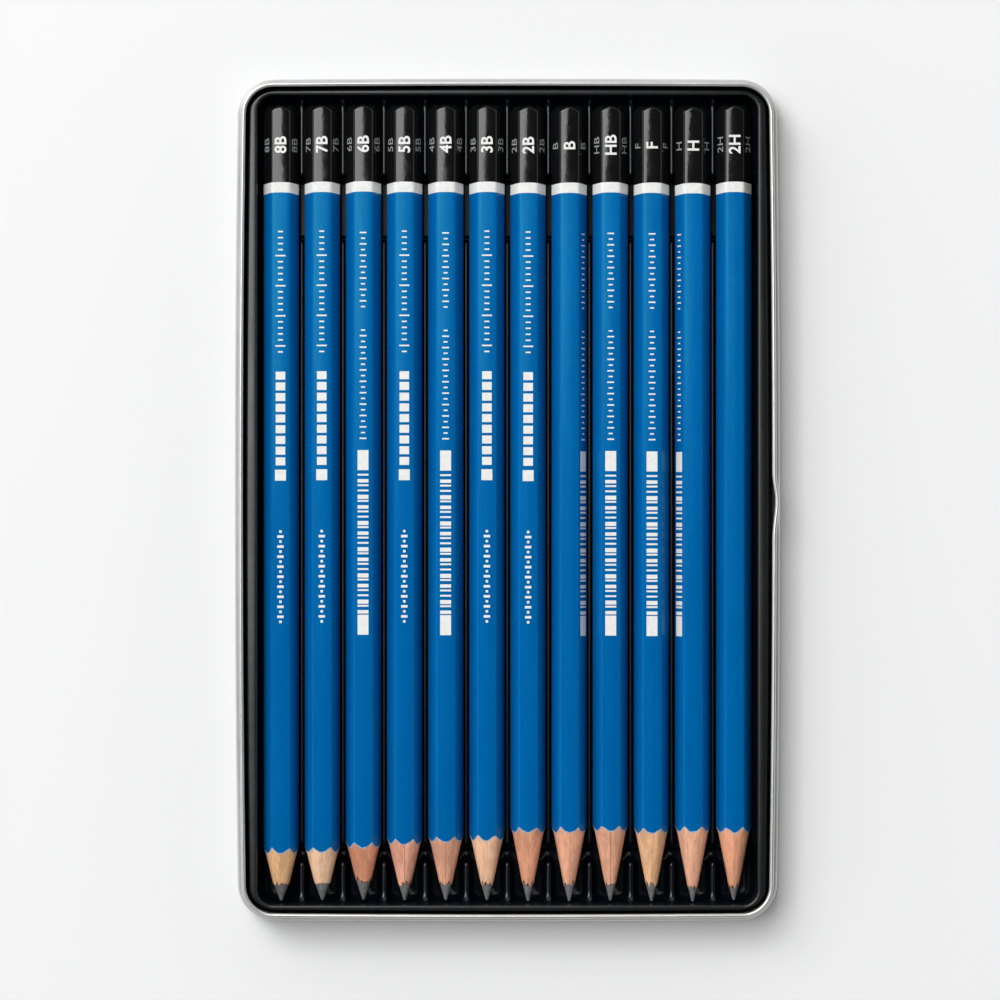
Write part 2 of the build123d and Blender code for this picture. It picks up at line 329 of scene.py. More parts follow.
class Shader(Nodes):
    """A node material under construction, with its Principled BSDF at hand."""

    def __init__(self, name, base, roughness, inputs=()):
        self.material = bpy.data.materials.new(name)
        self.material.use_nodes = True
        super().__init__(self.material.node_tree)
        self.surface = self.tree.nodes["Principled BSDF"]
        values = {"Base Color": (*base, 1.0), "Roughness": roughness, **dict(inputs)}
        for socket, value in values.items():
            self.surface.inputs[socket].default_value = value

    def along(self, axis):
        """Distance along one axis of the object, in metres."""
        where = self.add("ShaderNodeTexCoord")
        split = self.add("ShaderNodeSeparateXYZ")
        self.link(where.outputs["Object"], split.inputs[0])
        return split.outputs[axis]

    def cloud(self, scale, detail, roughness):
        """Noise over the object, with one scale for each axis."""
        inputs = {"Scale": scale, "Detail": detail, "Roughness": roughness}
        group = self.add("ShaderNodeGroup", inputs, node_tree=stretched_noise())
        return group.outputs["Value"]

    def ramp(self, source, low, high, start, end):
        """Two colours blended between two values of the source."""
        ramp = self.add("ShaderNodeValToRGB")
        first, last = ramp.color_ramp.elements
        first.position, first.color = start, (*low, 1.0)
        last.position, last.color = end, (*high, 1.0)
        self.link(source, ramp.inputs["Fac"])
        return ramp.outputs["Color"]

    def band(self, source, start, end, low, high):
        """Maps a value from one range to another, clamped."""
        inputs = {"From Min": start, "From Max": end, "To Min": low, "To Max": high}
        remap = self.add("ShaderNodeMapRange", inputs)
        self.link(source, remap.inputs["Value"])
        return remap.outputs["Result"]

    def blend(self, mask, first, second):
        """Mixes two colours by a mask; either is a socket or a plain colour."""
        mix = self.add("ShaderNodeMix", data_type="RGBA")
        self.link(mask, mix.inputs["Factor"])
        for socket, value in ((mix.inputs[6], first), (mix.inputs[7], second)):
            if isinstance(value, bpy.types.NodeSocket):
                self.link(value, socket)
            else:
                socket.default_value = (*value, 1.0)
        return mix.outputs[2]

    def feed(self, source, socket):
        """Joins a source to a socket of the Principled BSDF."""
        self.link(source, self.surface.inputs[socket])

    def bump(self, source, depth):
        """Gives the surface a fine relief, of a depth in metres."""
        relief = self.add("ShaderNodeBump", {"Strength": 1.0, "Distance": depth})
        self.link(source, relief.inputs["Height"])
        self.feed(relief.outputs["Normal"], "Normal")


def shade(tone, share):
    """A colour with a share of its light."""
    return tuple(c * share for c in tone)


def steel_material(settings):
    """Bright tinplate with a fine rolled grain and faint handling marks; darker for bounced light
    only, as painted shade.
    """
    bright = settings.steel
    steel = Shader("tinplate", bright, 0.32, {"Metallic": 0.82})
    smudge = steel.cloud((60, 60, 60), 5.0, 0.6)
    steel.feed(steel.band(smudge, 0.35, 0.7, 0.29, 0.36), "Roughness")
    tone = steel.ramp(smudge, shade(bright, 0.92), bright, 0.3, 0.7)
    # Painted shade: for bounced light only the steel takes a darker colour, so it throws less
    # light on the table beside the tin
    path = steel.add("ShaderNodeLightPath")
    dull = shade(bright, 0.65)
    steel.feed(steel.blend(path.outputs["Is Diffuse Ray"], tone, dull), "Base Color")
    grain = steel.cloud((2600, 160, 600), 3.0, 0.6)
    steel.bump(grain, 0.0000002)
    return steel.material


def plastic_material(settings):
    """Black formed sheet with faint dust, glossy on its flange and cap ribs, with painted shade
    lower down: weaker reflections and a darker colour.
    """
    base = settings.plastic
    plastic = Shader("formed_plastic", base, 0.22)
    haze = plastic.cloud((45, 45, 45), 5.0, 0.6)
    plastic.feed(plastic.band(haze, 0.35, 0.7, 0.18, 0.27), "Roughness")
    height = plastic.along("Z")
    # Painted shade: reflections are weaker below the tops of the cap ribs, so the troughs and the
    # lower long ribs look darker
    gloss_with_painted_shade = plastic.band(height, 0.00425, 0.0047, 0.14, 0.5)
    plastic.feed(gloss_with_painted_shade, "Specular IOR Level")
    specks = plastic.cloud((2600, 2600, 2600), 2.0, 0.5)
    mask = plastic.band(specks, 0.74, 0.8, 0.0, 1.0)
    # Painted shade: below the flange the colour fades to the darker depth colour, full below six
    # millimetres
    painted_shade_mask = plastic.band(height, 0.006, 0.0088, 0.0, 1.0)
    tone = plastic.blend(painted_shade_mask, settings.depth, base)
    plastic.feed(plastic.blend(mask, tone, (0.05, 0.05, 0.05)), "Base Color")
    ripple = plastic.cloud((170, 170, 170), 2.0, 0.4)
    plastic.bump(ripple, 0.00002)
    return plastic.material


def lacquer_material(settings):
    """Casing lacquer with a soft blue-green sheen, slightly uneven along the wood below it."""
    base = settings.lacquer
    sheen = {"Specular IOR Level": 0.42, "Specular Tint": (0.12, 0.8, 0.76, 1.0)}
    lacquer = Shader("blue_lacquer", base, 0.25, sheen)
    patch = lacquer.cloud((260, 45, 260), 4.0, 0.55)
    dark = shade(base, 0.94)
    light = (base[0], base[1] * 1.04, min(1.0, base[2] * 1.03))
    lacquer.feed(lacquer.ramp(patch, dark, light, 0.3, 0.7), "Base Color")
    fine = lacquer.cloud((900, 120, 900), 3.0, 0.6)
    lacquer.feed(lacquer.band(fine, 0.3, 0.7, 0.2, 0.3), "Roughness")
    lacquer.bump(fine, 0.000006)
    return lacquer.material


def primer_material(settings):
    """Pale undercoat that shows along the sharpener's cut."""
    primer = Shader("primer", settings.primer, 0.6)
    patch = primer.cloud((1400, 1400, 1400), 3.0, 0.6)
    deep = tuple(0.55 * c + 0.45 * d for c, d in zip(settings.primer, settings.lacquer))
    primer.feed(primer.ramp(patch, deep, settings.primer, 0.35, 0.6), "Base Color")
    primer.bump(patch, 0.00002)
    return primer.material


def dip_material(settings):
    """Thick black dipping lacquer with a gentle wave."""
    base = settings.dip
    dip = Shader("black_dip", base, 0.1)
    wave = dip.cloud((480, 380, 480), 3.0, 0.55)
    dip.bump(wave, 0.000024)
    dust = dip.cloud((2400, 2400, 2400), 2.0, 0.5)
    mask = dip.band(dust, 0.72, 0.8, 0.0, 1.0)
    dip.feed(dip.blend(mask, base, (0.04, 0.04, 0.04)), "Base Color")
    dip.feed(dip.band(wave, 0.3, 0.7, 0.08, 0.13), "Roughness")
    return dip.material


def paint_material(name, base):
    """Flat paint of the rings and the printed marks."""
    paint = Shader(name, base, 0.4)
    patch = paint.cloud((900, 900, 900), 3.0, 0.6)
    paint.feed(paint.ramp(patch, shade(base, 0.9), base, 0.3, 0.6), "Base Color")
    paint.bump(patch, 0.000008)
    return paint.material


def wood_material(grade, axis_x):
    """Bare cut wood: long grain, dark pores and the glue line of the two slats."""
    tone, line = WOOD[grade]
    light = tuple(min(1.0, c * 1.17) for c in tone)
    dark = shade(tone, 0.8)
    wood = Shader("cedar_" + grade, tone, 0.65, {"Specular IOR Level": 0.2})
    grain = wood.cloud((1700, 150, 1700), 5.0, 0.65)
    broad = wood.cloud((420, 30, 420), 2.0, 0.5)
    both = wood.add("ShaderNodeMath", operation="MULTIPLY")
    wood.link(grain, both.inputs[0])
    wood.link(broad, both.inputs[1])
    surface = wood.ramp(both.outputs[0], dark, light, 0.17, 0.32)
    pores = wood.cloud((3600, 300, 3600), 2.0, 0.5)
    mask = wood.band(pores, 0.64, 0.72, 0.0, 0.35)
    surface = wood.blend(mask, surface, shade(dark, 0.5))
    away = wood.add("ShaderNodeMath", {1: axis_x}, operation="SUBTRACT")
    wood.link(wood.along("X"), away.inputs[0])
    near = wood.add("ShaderNodeMath", operation="ABSOLUTE")
    wood.link(away.outputs[0], near.inputs[0])
    glue = wood.band(near.outputs[0], 0.00004, 0.00013, line, 0.0)
    surface = wood.blend(glue, surface, shade(dark, 0.55))
    wood.feed(surface, "Base Color")
    wood.bump(grain, 0.00003)
    return wood.material


def graphite_material(settings):
    """Sharpened graphite: dull grey sheen with fine streaks down to the point."""
    base = settings.graphite
    graphite = Shader("graphite", base, 0.45, {"Metallic": 0.2})
    streak = graphite.cloud((3200, 500, 3200), 3.0, 0.6)
    tone = graphite.ramp(streak, shade(base, 0.7), shade(base, 1.3), 0.3, 0.7)
    graphite.feed(tone, "Base Color")
    graphite.feed(graphite.band(streak, 0.3, 0.7, 0.38, 0.52), "Roughness")
    graphite.bump(streak, 0.00003)
    return graphite.material


def floor_material(settings):
    """Plain pale table with the faintest tooth."""
    base = settings.floor
    floor = Shader("pale_table", base, 0.9, {"Specular IOR Level": 0.0})
    tooth = floor.cloud((3000, 3000, 3000), 2.0, 0.5)
    floor.feed(floor.ramp(tooth, shade(base, 0.985), base, 0.3, 0.7), "Base Color")
    return floor.material


# Mesh helpers

def round_corners(bm, corners, offset, segments):
    """Rounds the corners of a flat outline."""
    bmesh.ops.bevel(
        bm,
        geom=corners,
        offset=offset,
        offset_type="OFFSET",
        segments=segments,
        profile=0.5,
        affect="VERTICES",
        material=-1,
    )


def extrude(bm, ring):
    """Extrudes a ring of edges: the new edges, and each new point with the one it left."""
    old = {v for e in ring for v in e.verts}
    made = bmesh.ops.extrude_edge_only(bm, edges=ring)["geom"]
    sources = {}
    for vert in (g for g in made if isinstance(g, bmesh.types.BMVert)):
        others = (e.other_vert(vert) for e in vert.link_edges)
        sources[vert] = next(v for v in others if v in old)
    return [g for g in made if isinstance(g, bmesh.types.BMEdge)], sources


def close_up(bm, ring):
    """Closes an open ring with a face, and turns all faces outwards."""
    bmesh.ops.contextual_create(bm, geom=ring)
    bmesh.ops.recalc_face_normals(bm, faces=bm.faces[:])


# Tin

def outline(bm, width, depth, radius):
    """A face with round corners, and for each of its points a core and a way outwards."""
    bmesh.ops.create_grid(bm, x_segments=1, y_segments=1, size=0.5)
    bmesh.ops.scale(bm, vec=(width, depth, 1.0), verts=bm.verts)
    round_corners(bm, bm.verts[:], radius, 20)

    # Many points along the sides for their bow, more at the snap bump
    long_edges = [e for e in bm.edges if e.calc_length() > width / 2]
    bmesh.ops.subdivide_edges(bm, edges=long_edges, cuts=40)
    zone = 14 * MM
    near = [e for e in bm.edges if all(v.co.x > 0 and abs(v.co.y) < zone for v in e.verts)]
    bmesh.ops.subdivide_edges(bm, edges=near, cuts=7)

    half_x, half_y = width / 2 - radius, depth / 2 - radius
    seats = {}
    for vert in bm.verts:
        core_x = max(-half_x, min(half_x, vert.co.x))
        core = Vector((core_x, max(-half_y, min(half_y, vert.co.y))))
        seats[vert] = (core, (vert.co.xy - core).normalized())
    return seats


def tin_profile(settings, height):
    """Section of the tin as (inset, height) steps, from under the floor over the rim and back."""
    sheet, step, curl = settings.sheet, settings.step, settings.curl / 2
    foot, shoulder = settings.foot, settings.shoulder
    edge, nook = settings.shoulder_edge, settings.shoulder_nook
    steps = []

    def arc(inset, centre, radius, start, end, count):
        for i in range(count + 1):
            a = math.radians(start + (end - start) * i / count)
            steps.append((inset - radius * math.cos(a), centre + radius * math.sin(a)))

    arc(foot, foot, foot, -90, 0, 5)
    arc(edge, shoulder - settings.shoulder_fall, edge, 0, 60, 4)
    steps.append((step - nook, shoulder))
    arc(step - nook, shoulder + nook, nook, -90, -180, 3)
    rim = height - curl
    arc(step + curl, rim, curl, 0, 250, 14)
    arc(step + curl, rim, curl - sheet, 250, 0, 8)
    steps.append((step + sheet, shoulder - nook / 2))
    steps.append((sheet, shoulder - sheet - settings.shoulder_under))
    arc(foot, foot, foot - sheet, 0, -90, 5)
    return steps


def bowed(spot, size, settings):
    """Shift by which the sides swell in their middle and draw in towards the corners."""
    along_x, along_y = 2 * spot.x / size.x, 2 * spot.y / size.y
    side = along_x * (BOW_TURN - along_y**2) * settings.side_bow
    end = along_y * (BOW_TURN - along_x**2) * settings.end_bow
    return Vector((side, end, 0))


def build_tin(settings):
    """The drawn tin as one closed sheet, swept round its outline ring by ring."""
    low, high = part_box("tin_base")
    size = high - low
    bm = bmesh.new()
    seats = outline(bm, size.x, size.y, settings.corner)
    ring = bm.edges[:]
    for i, (inset, height) in enumerate(tin_profile(settings, high.z)):
        if i > 0:
            ring, sources = extrude(bm, ring)
            seats = {vert: seats[source] for vert, source in sources.items()}
        for vert, (core, outward) in seats.items():
            vert.co = (core + outward * (settings.corner - inset)).to_3d()
            vert.co.z = height
    close_up(bm, ring)

    # The sides bow, and the snap bump moves the neck alone
    neck_bottom = settings.shoulder - settings.shoulder_nook
    neck_reach = size.x / 2 - 0.7 * settings.step
    for vert in bm.verts:
        run = settings.bump_rear if vert.co.y > 0 else settings.bump_front
        fall = max(0.0, 1.0 - abs(vert.co.y) / run)
        on_neck = vert.co.z > neck_bottom and 0 < vert.co.x < neck_reach
        swell = settings.bump_height * fall * fall * (3 - 2 * fall) * on_neck
        vert.co += bowed(vert.co, size, settings) + Vector((swell, 0, 0))
    add_piece("tin", bm, 50.0, "tin", steel_material(settings), "tin_steel", "tin_base")


# Tray

class TrayForm:
    """Heights of the formed sheet over the plan of the tray."""

    tilt = math.radians(5)
    draft = math.tan(tilt)
    slant = math.cos(tilt)
    lean = math.tan((math.pi / 2 - tilt) / 2)
    foot_reach = 2 * MM
    rib_draft = math.tan(math.radians(12))
    end_slope = math.tan(math.radians(70))

    def __init__(self, settings):
        s = settings
        low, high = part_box("insert_tray")
        self.settings = s
        self.size = high - low
        self.top = high.z
        self.half_x = high.x - s.flange_side
        self.half_y = high.y - s.flange_end
        self.mouth = s.corner + s.mouth * self.lean
        axes = [sum(b.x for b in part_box(f"pencil_{g}_lead")) / 2 for g in GRADES]
        self.ribs = [(a + b) / 2 for a, b in zip(axes, axes[1:])]
        self.tip_trough = -self.half_y + s.tip_trough
        self.finger_back = self.half_y - s.cap_cradle
        self.finger_front = self.finger_back - s.finger
        half = s.rib_width / 2
        front = self.tip_trough + s.rib_gap + half
        self.long_span = (front, self.finger_front - s.rib_gap - half)
        self.cap_span = (self.finger_back + s.rib_gap + half, self.half_y - 2.5 * half)
        self.tip_span = (-self.half_y - half, self.tip_trough - s.tip_rib_gap - half)

    def base(self, y):
        """Height of the plain floor, low in the troughs and high in the cradles."""
        s = self.settings
        front = s.cradle - (self.tip_trough - y) * self.end_slope
        rear = s.cradle - (y - self.finger_front) * self.end_slope
        cap = s.cradle - (self.finger_back - y) * self.end_slope
        long_cradle = soft_min(soft_min(s.cradle, front, s.edge), rear, s.edge)
        cap_cradle = soft_min(s.cradle, cap, s.edge)
        return soft_max(s.trough, max(long_cradle, cap_cradle), s.edge)

    def rib(self, across, y, span, top, foot=0.0):
        """Height of one rib at a distance across it; a foot widens it at the front wall."""
        s = self.settings
        half = s.rib_width / 2
        beyond = max(span[0] - y, y - span[1], 0.0)
        near_wall = max(0.0, 1 - (y + self.half_y) / self.foot_reach)
        away = math.hypot(across, beyond) - half - foot * near_wall**2
        crest = top - s.rib_crown * min(1.0, (away / half + 1) ** 2)
        return soft_min(crest, top - away / self.rib_draft, s.edge)

    def floor(self, x, y):
        """Height of the floor with its ribs and side ledges."""
        s = self.settings
        height = self.base(y)
        nearest = min(abs(x - r) for r in self.ribs)
        ledge = max(self.half_x - s.ledge + s.rib_width / 2 - abs(x), 0.0)
        across = min(nearest, ledge)
        long_rib = self.rib(across, y, self.long_span, s.rib_top - s.long_drop)
        height = soft_max(height, long_rib, s.edge)
        height = soft_max(height, self.rib(across, y, self.cap_span, s.rib_top), s.edge)
        return soft_max(height, self.rib(nearest, y, self.tip_span, s.rib_top, s.rib_foot), s.edge)

    def side(self, reach, floor):
        """Height at a reach out from the flat core: floor, fillet, drafted wall, rounded mouth."""
        s = self.settings
        foot = s.corner - (self.top - floor) * self.draft
        fillet = foot - s.fillet * self.lean
        if reach <= fillet:
            return floor
        if reach < fillet + s.fillet * self.slant:
            return floor + s.fillet - math.sqrt(s.fillet**2 - (reach - fillet) ** 2)
        if reach < self.mouth - s.mouth * self.slant:
            return self.top - (s.corner - reach) / self.draft
        if reach < self.mouth:
            return self.top - s.mouth + math.sqrt(s.mouth**2 - (self.mouth - reach) ** 2)
        return self.top


def spread(points, start, end, gap):
    """Sorted lines, without any that nearly meet, and with wide gaps filled evenly."""
    closest = 0.04 * MM
    lines = sorted({round(p, 7) for p in points if start < p < end} | {start, end})
    kept = [lines[0]]
    for line in lines[1:]:
        first = kept[-1]
        if line - first < closest and line != end:
            continue
        count = math.ceil((line - first) / gap)
        kept += [first + (line - first) * i / count for i in range(1, count + 1)]
    return kept


def tray_rings(form):
    """Rings outside the core as (reach in x, reach in y, drop below the top or None)."""
    s = form.settings
    quarter = math.pi / 2
    run = s.mouth * form.slant

    # Wide rings over the fillet, close ones up the steep wall, then the rounded mouth
    reaches = [0.42 * MM * i for i in range(1, 6)]
    reaches += [(2.25 + 0.1 * i) * MM for i in range(9)]
    reaches += [3.16 * MM, 3.32 * MM]
    reaches += [form.mouth - run * math.cos(quarter * i / 7) for i in range(8)]
    rings = [(reach, reach, None) for reach in reaches]

    # The flange's rounded outer edge and the lip that is turned down from it
    wide_x, wide_y = s.corner + s.flange_side, s.corner + s.flange_end
    for i in range(5):
        angle = quarter * i / 4
        back, drop = s.lip * (1 - math.sin(angle)), s.lip * (1 - math.cos(angle))
        rings.append((wide_x - back, wide_y - back, drop))
    for share in (0.35, 0.7, 1.0):
        out = s.lip_flare * share**1.5
        rings.append((wide_x + out, wide_y + out, s.lip + (s.lip_drop - s.lip) * share))
    return rings


def build_tray(settings, tin):
    """The formed tray: a grid laid over the plan, shaped by height, and given a thickness."""
    form = TrayForm(settings)
    core_x, core_y = form.half_x - settings.corner, form.half_y - settings.corner
    ends = (*form.long_span, *form.cap_span, form.tip_span[1])
    edges = (form.tip_trough, form.finger_front, form.finger_back)

    def beside(places, offsets):
        return [p + side * a * MM for p in places for a in offsets for side in (-1, 1)]

    marks_x = beside(form.ribs, RIB_LINES)
    marks_y = beside(ends, RIB_LINES) + beside(edges, EDGE_LINES)
    lines_x = spread(marks_x, -core_x, core_x, 3.0 * MM)
    lines_y = spread(marks_y, -core_y, core_y, 6.0 * MM)
    rings = tray_rings(form)
    count = len(rings)

    bm = bmesh.new()
    cells_x, cells_y = len(lines_x) - 1 + 2 * count, len(lines_y) - 1 + 2 * count
    bmesh.ops.create_grid(bm, x_segments=cells_x, y_segments=cells_y, size=0.5)
    for vert in bm.verts:
        i = round((vert.co.x + 0.5) * cells_x)
        j = round((vert.co.y + 0.5) * cells_y)
        past_x = max(count - i, i - (cells_x - count), 0)
        past_y = max(count - j, j - (cells_y - count), 0)
        side_x = -1 if i < count else 1
        side_y = -1 if j < count else 1
        outer = max(past_x, past_y)
        if outer == 0:
            x, y = lines_x[i - count], lines_y[j - count]
            vert.co = Vector((x, y, form.floor(x, y)))
            continue
        reach_x, reach_y, drop = rings[outer - 1]
        if past_x and past_y:
            share = min(past_x, past_y) / outer
            turn = math.pi / 4 * (share if past_x >= past_y else 2 - share)
            x = side_x * (core_x + reach_x * math.cos(turn))
            y = side_y * (core_y + reach_y * math.sin(turn))
        elif past_x:
            x, y = side_x * (core_x + reach_x), lines_y[j - count]
        else:
            x, y = lines_x[i - count], side_y * (core_y + reach_y)
        if drop is None:
            vert.co = Vector((x, y, form.side(reach_x, form.floor(x, y))))
        else:
            vert.co = Vector((x, y, form.top - drop))
            vert.co += bowed(vert.co, form.size, tin)
    bmesh.ops.recalc_face_normals(bm, faces=bm.faces[:])
    if sum(f.normal.z for f in bm.faces) < 0:
        bmesh.ops.reverse_faces(bm, faces=bm.faces[:])
    plastic = plastic_material(settings)
    tray = add_piece("tray", bm, 75.0, "tray", plastic, "tray_plastic", "insert_tray")
    shell = tray.modifiers.new("Sheet", "SOLIDIFY")
    shell.thickness = settings.sheet
    shell.offset = -1.0


# Pencils

class Blank:
    """One pencil's place and sizes, read from its solids."""

    def __init__(self, grade, settings):
        low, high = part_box(f"pencil_{grade}_lead")
        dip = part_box(f"pencil_{grade}_dip")
        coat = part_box(f"pencil_{grade}_lacquer")
        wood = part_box(f"pencil_{grade}_casing")
        self.grade = grade
        self.settings = settings
        self.axis = Vector(((low.x + high.x) / 2, 0, (low.z + high.z) / 2))
        self.apothem = (coat[1].z - coat[0].z) / 2
        self.tip = low.y
        self.lead = (high.x - low.x) / 2
        self.dip_start, self.end = dip[0].y, dip[1].y
        self.border = wood[0].y - settings.lead_cut
        self.cut = coat[0].y + settings.cut_back
        self.seed = Vector((GRADES.index(grade) * 7.3, 0, 0))

    def on_cone(self, radius):
        """Place along the pencil where the sharpened end has a radius: point, wood, cut edge."""
        if radius < self.lead:
            share = (radius - self.settings.blunt) / (self.lead - self.settings.blunt)
            return self.tip + (self.border - self.tip) * share
        if radius < self.apothem:
            share = (radius - self.lead) / (self.apothem - self.lead)
            return self.border + (self.cut - self.border) * share
        return self.cut + (radius - self.apothem) * self.settings.shoulder

    def ragged(self, vert, size, depth):
        """A small uneven shift along the pencil, the same each time."""
        spot = Vector((vert.co.x, vert.co.z, 0)) * size + self.seed
        return noise.noise(spot) * depth


def section(bm, blank, inset, y):
    """One hexagonal ring of a pencil with round corners and crowned facets, standing at y."""
    s = blank.settings
    reach = (blank.apothem - inset) / math.cos(math.pi / 6)
    made = bmesh.ops.create_circle(bm, cap_ends=True, segments=6, radius=reach)["verts"]
    round_corners(bm, made, (s.corner - inset) * math.tan(math.pi / 6), 4)
    flats = [e for e in bm.edges if e.calc_length() > reach / 2]
    bmesh.ops.subdivide_edges(bm, edges=flats, cuts=7)
    half = reach / 2 - s.corner * math.tan(math.pi / 6)
    for vert in bm.verts:
        facet = round(math.atan2(vert.co.y, vert.co.x) / (math.pi / 3)) * math.pi / 3
        outward = Vector((math.cos(facet), math.sin(facet), 0))
        side = Vector((-outward.y, outward.x, 0))
        share = vert.co.dot(side) / half
        vert.co += outward * s.crown * max(0.0, 1 - share * share)
    upright = Matrix.Rotation(math.pi / 2, 3, "X") @ Matrix.Rotation(math.pi / 6, 3, "Z")
    bmesh.ops.rotate(bm, verts=bm.verts, matrix=upright)
    bmesh.ops.translate(bm, verts=bm.verts, vec=(0, y, 0))
    return bm.edges[:]


def lengthen(bm, ring, y, scale=1.0):
    """Extrudes a ring along the pencil and scales it about the pencil's axis."""
    ring, verts = extrude(bm, ring)
    for vert in verts:
        vert.co = Vector((vert.co.x * scale, y, vert.co.z * scale))
    return ring, verts


def finish_part(bm, blank, part, material, slot, *nodes):
    """Moves a part from its own axis to its pencil's and adds it as a piece."""
    bmesh.ops.translate(bm, verts=bm.verts, vec=blank.axis)
    pencil = "pencil_" + blank.grade
    replaced = [f"{pencil}_{node}" for node in nodes]
    return add_piece(f"{pencil}_{part}", bm, 42.0, pencil, material, slot, *replaced)


def radius_of(vert):
    """Distance of a point from the pencil's axis."""
    return math.hypot(vert.co.x, vert.co.z)


def cut_to_cone(verts, blank, rag, ahead=0.0):
    """Moves points to where the sharpened end has their radius, with a ragged edge."""
    for vert in verts:
        vert.co.y = blank.on_cone(radius_of(vert)) + blank.ragged(vert, RAG_SIZE, rag) + ahead


def build_wood(blank):
    """The casing: hexagonal under the lacquer, then cut to a cone down to the lead."""
    bm = bmesh.new()
    ring = section(bm, blank, blank.settings.coat, blank.end - 1.5 * MM)
    ring, verts = lengthen(bm, ring, 0.0)
    cut_to_cone(verts, blank, 0.1 * MM)
    steps = 8
    rims = {v: radius_of(v) for v in verts}
    for i in range(1, steps + 1):
        ring, sources = extrude(bm, ring)
        rims = {vert: rims[source] for vert, source in sources.items()}
        for vert, rim in rims.items():
            radius = rim + (blank.lead - rim) * i / steps
            if i == steps:
                jag = sum(blank.ragged(vert, size, deep) for size, deep in JAGS)
                radius = blank.lead + jag / 5
            scale = radius / radius_of(vert)
            vert.co = Vector((vert.co.x * scale, blank.on_cone(radius), vert.co.z * scale))
    close_up(bm, ring)
    wood = wood_material(blank.grade, blank.axis.x)
    finish_part(bm, blank, "wood", wood, "cedar", "casing")


def build_lead(blank, material):
    """The lead: a round point that runs up inside the wood, just below its cut surface."""
    bm = bmesh.new()
    below = 0.03 * MM
    blunt = blank.settings.blunt
    here = blank.lead + 0.4 * MM
    verts = bmesh.ops.create_circle(bm, cap_ends=True, segments=48, radius=here - below)["verts"]
    bmesh.ops.rotate(bm, verts=verts, matrix=Matrix.Rotation(math.pi / 2, 3, "X"))
    bmesh.ops.translate(bm, verts=verts, vec=(0, blank.on_cone(here), 0))
    ring = bm.edges[:]
    here -= below
    for share in (1.0, 0.85, 0.7, 0.5, 0.3, 0.0):
        radius = blunt + (blank.lead - blunt) * share
        ring, _ = lengthen(bm, ring, blank.on_cone(radius) + 0.05 * MM, (radius - below) / here)
        here = radius - below
    for share, back in ((0.85, 0.02), (0.6, 0.0)):
        ring, _ = lengthen(bm, ring, blank.tip + back * MM, blunt * share / here)
        here = blunt * share
    close_up(bm, ring)
    finish_part(bm, blank, "point", material, "graphite", "lead")


def build_lacquer(blank, material, primer):
    """The lacquer: a thin sleeve whose front edge follows the sharpener's cut."""
    depth = blank.settings.coat * 0.7
    rag = 0.3 * MM
    back = blank.dip_start + 0.5 * MM
    bm = bmesh.new()
    first = section(bm, blank, depth, back)
    bmesh.ops.delete(bm, geom=bm.faces[:], context="FACES_ONLY")
    inner, verts = lengthen(bm, first, 0.0)
    cut_to_cone(verts, blank, rag)
    sleeve = set(bm.faces)
    edge, verts = lengthen(bm, inner, 0.0, blank.apothem / (blank.apothem - depth))
    cut_to_cone(verts, blank, rag, 0.03 * MM)
    for face in set(bm.faces) - sleeve:
        face.material_index = 1
    far, _ = lengthen(bm, edge, back)
    for face in {f for e in far for f in e.link_faces}:
        face.material_index = 0
    bmesh.ops.bridge_loops(bm, edges=first + far)
    bmesh.ops.recalc_face_normals(bm, faces=bm.faces[:])
    coat = finish_part(bm, blank, "coat", material, "blue_lacquer", "lacquer")
    coat.data.materials.append(primer)


def run_down(verts, blank):
    """Lets a dipped edge run a little further along the sides."""
    for vert in verts:
        vert.co.y -= blank.settings.droop * (vert.co.x / blank.apothem) ** 2


def build_dip(blank, dip, paint):
    """The dipped end: a white ring and the black cap over it."""
    s = blank.settings
    start = blank.dip_start - s.ring_shift
    bm = bmesh.new()
    ring = section(bm, blank, -0.02 * MM, start)
    run_down(bm.verts, blank)
    ring, _ = lengthen(bm, ring, start + s.ring + 0.3 * MM)
    close_up(bm, ring)
    finish_part(bm, blank, "ring", paint, None)

    bm = bmesh.new()
    start += s.ring
    thick = 0.03 * MM
    ring = section(bm, blank, 0.0, start)
    run_down(bm.verts, blank)
    now = blank.apothem
    for y in (start + 0.02 * MM, start + 0.25 * MM):
        ring, verts = lengthen(bm, ring, y, (blank.apothem + thick) / now)
        run_down(verts, blank)
        now = blank.apothem + thick

    # The rounded end is a little flatter than a quarter circle, and falls back at its corners
    turns, flatness, corner_rise = 8, 0.75, 0.13
    for i in range(turns + 1):
        angle = math.pi / 2 * i / turns
        across = blank.apothem + thick - s.dome * (1 - math.cos(angle))
        y = blank.end - s.dome * (1 - math.sin(angle)) * flatness
        ring, verts = lengthen(bm, ring, y, across / now)
        now = across
        for vert in verts:
            corner = min(1.0, (radius_of(vert) / across - 1) / corner_rise)
            vert.co.y -= s.sag * corner * (1 - i / turns / 2)
    close_up(bm, ring)
    finish_part(bm, blank, "cap", dip, "black_dip", "dip")


def facet_frame(blank, facet, y):
    """Matrix that lays a mark flat on a facet, reading toward the cap; facet 0 is the top."""
    lift = blank.apothem + blank.settings.crown + 0.03 * MM
    turn = Matrix.Rotation(math.radians(60 * facet), 4, "Y")
    flat = Matrix.Translation((0, y, lift)) @ Matrix.Rotation(math.pi / 2, 4, "Z")
    return Matrix.Translation(blank.axis) @ turn @ flat


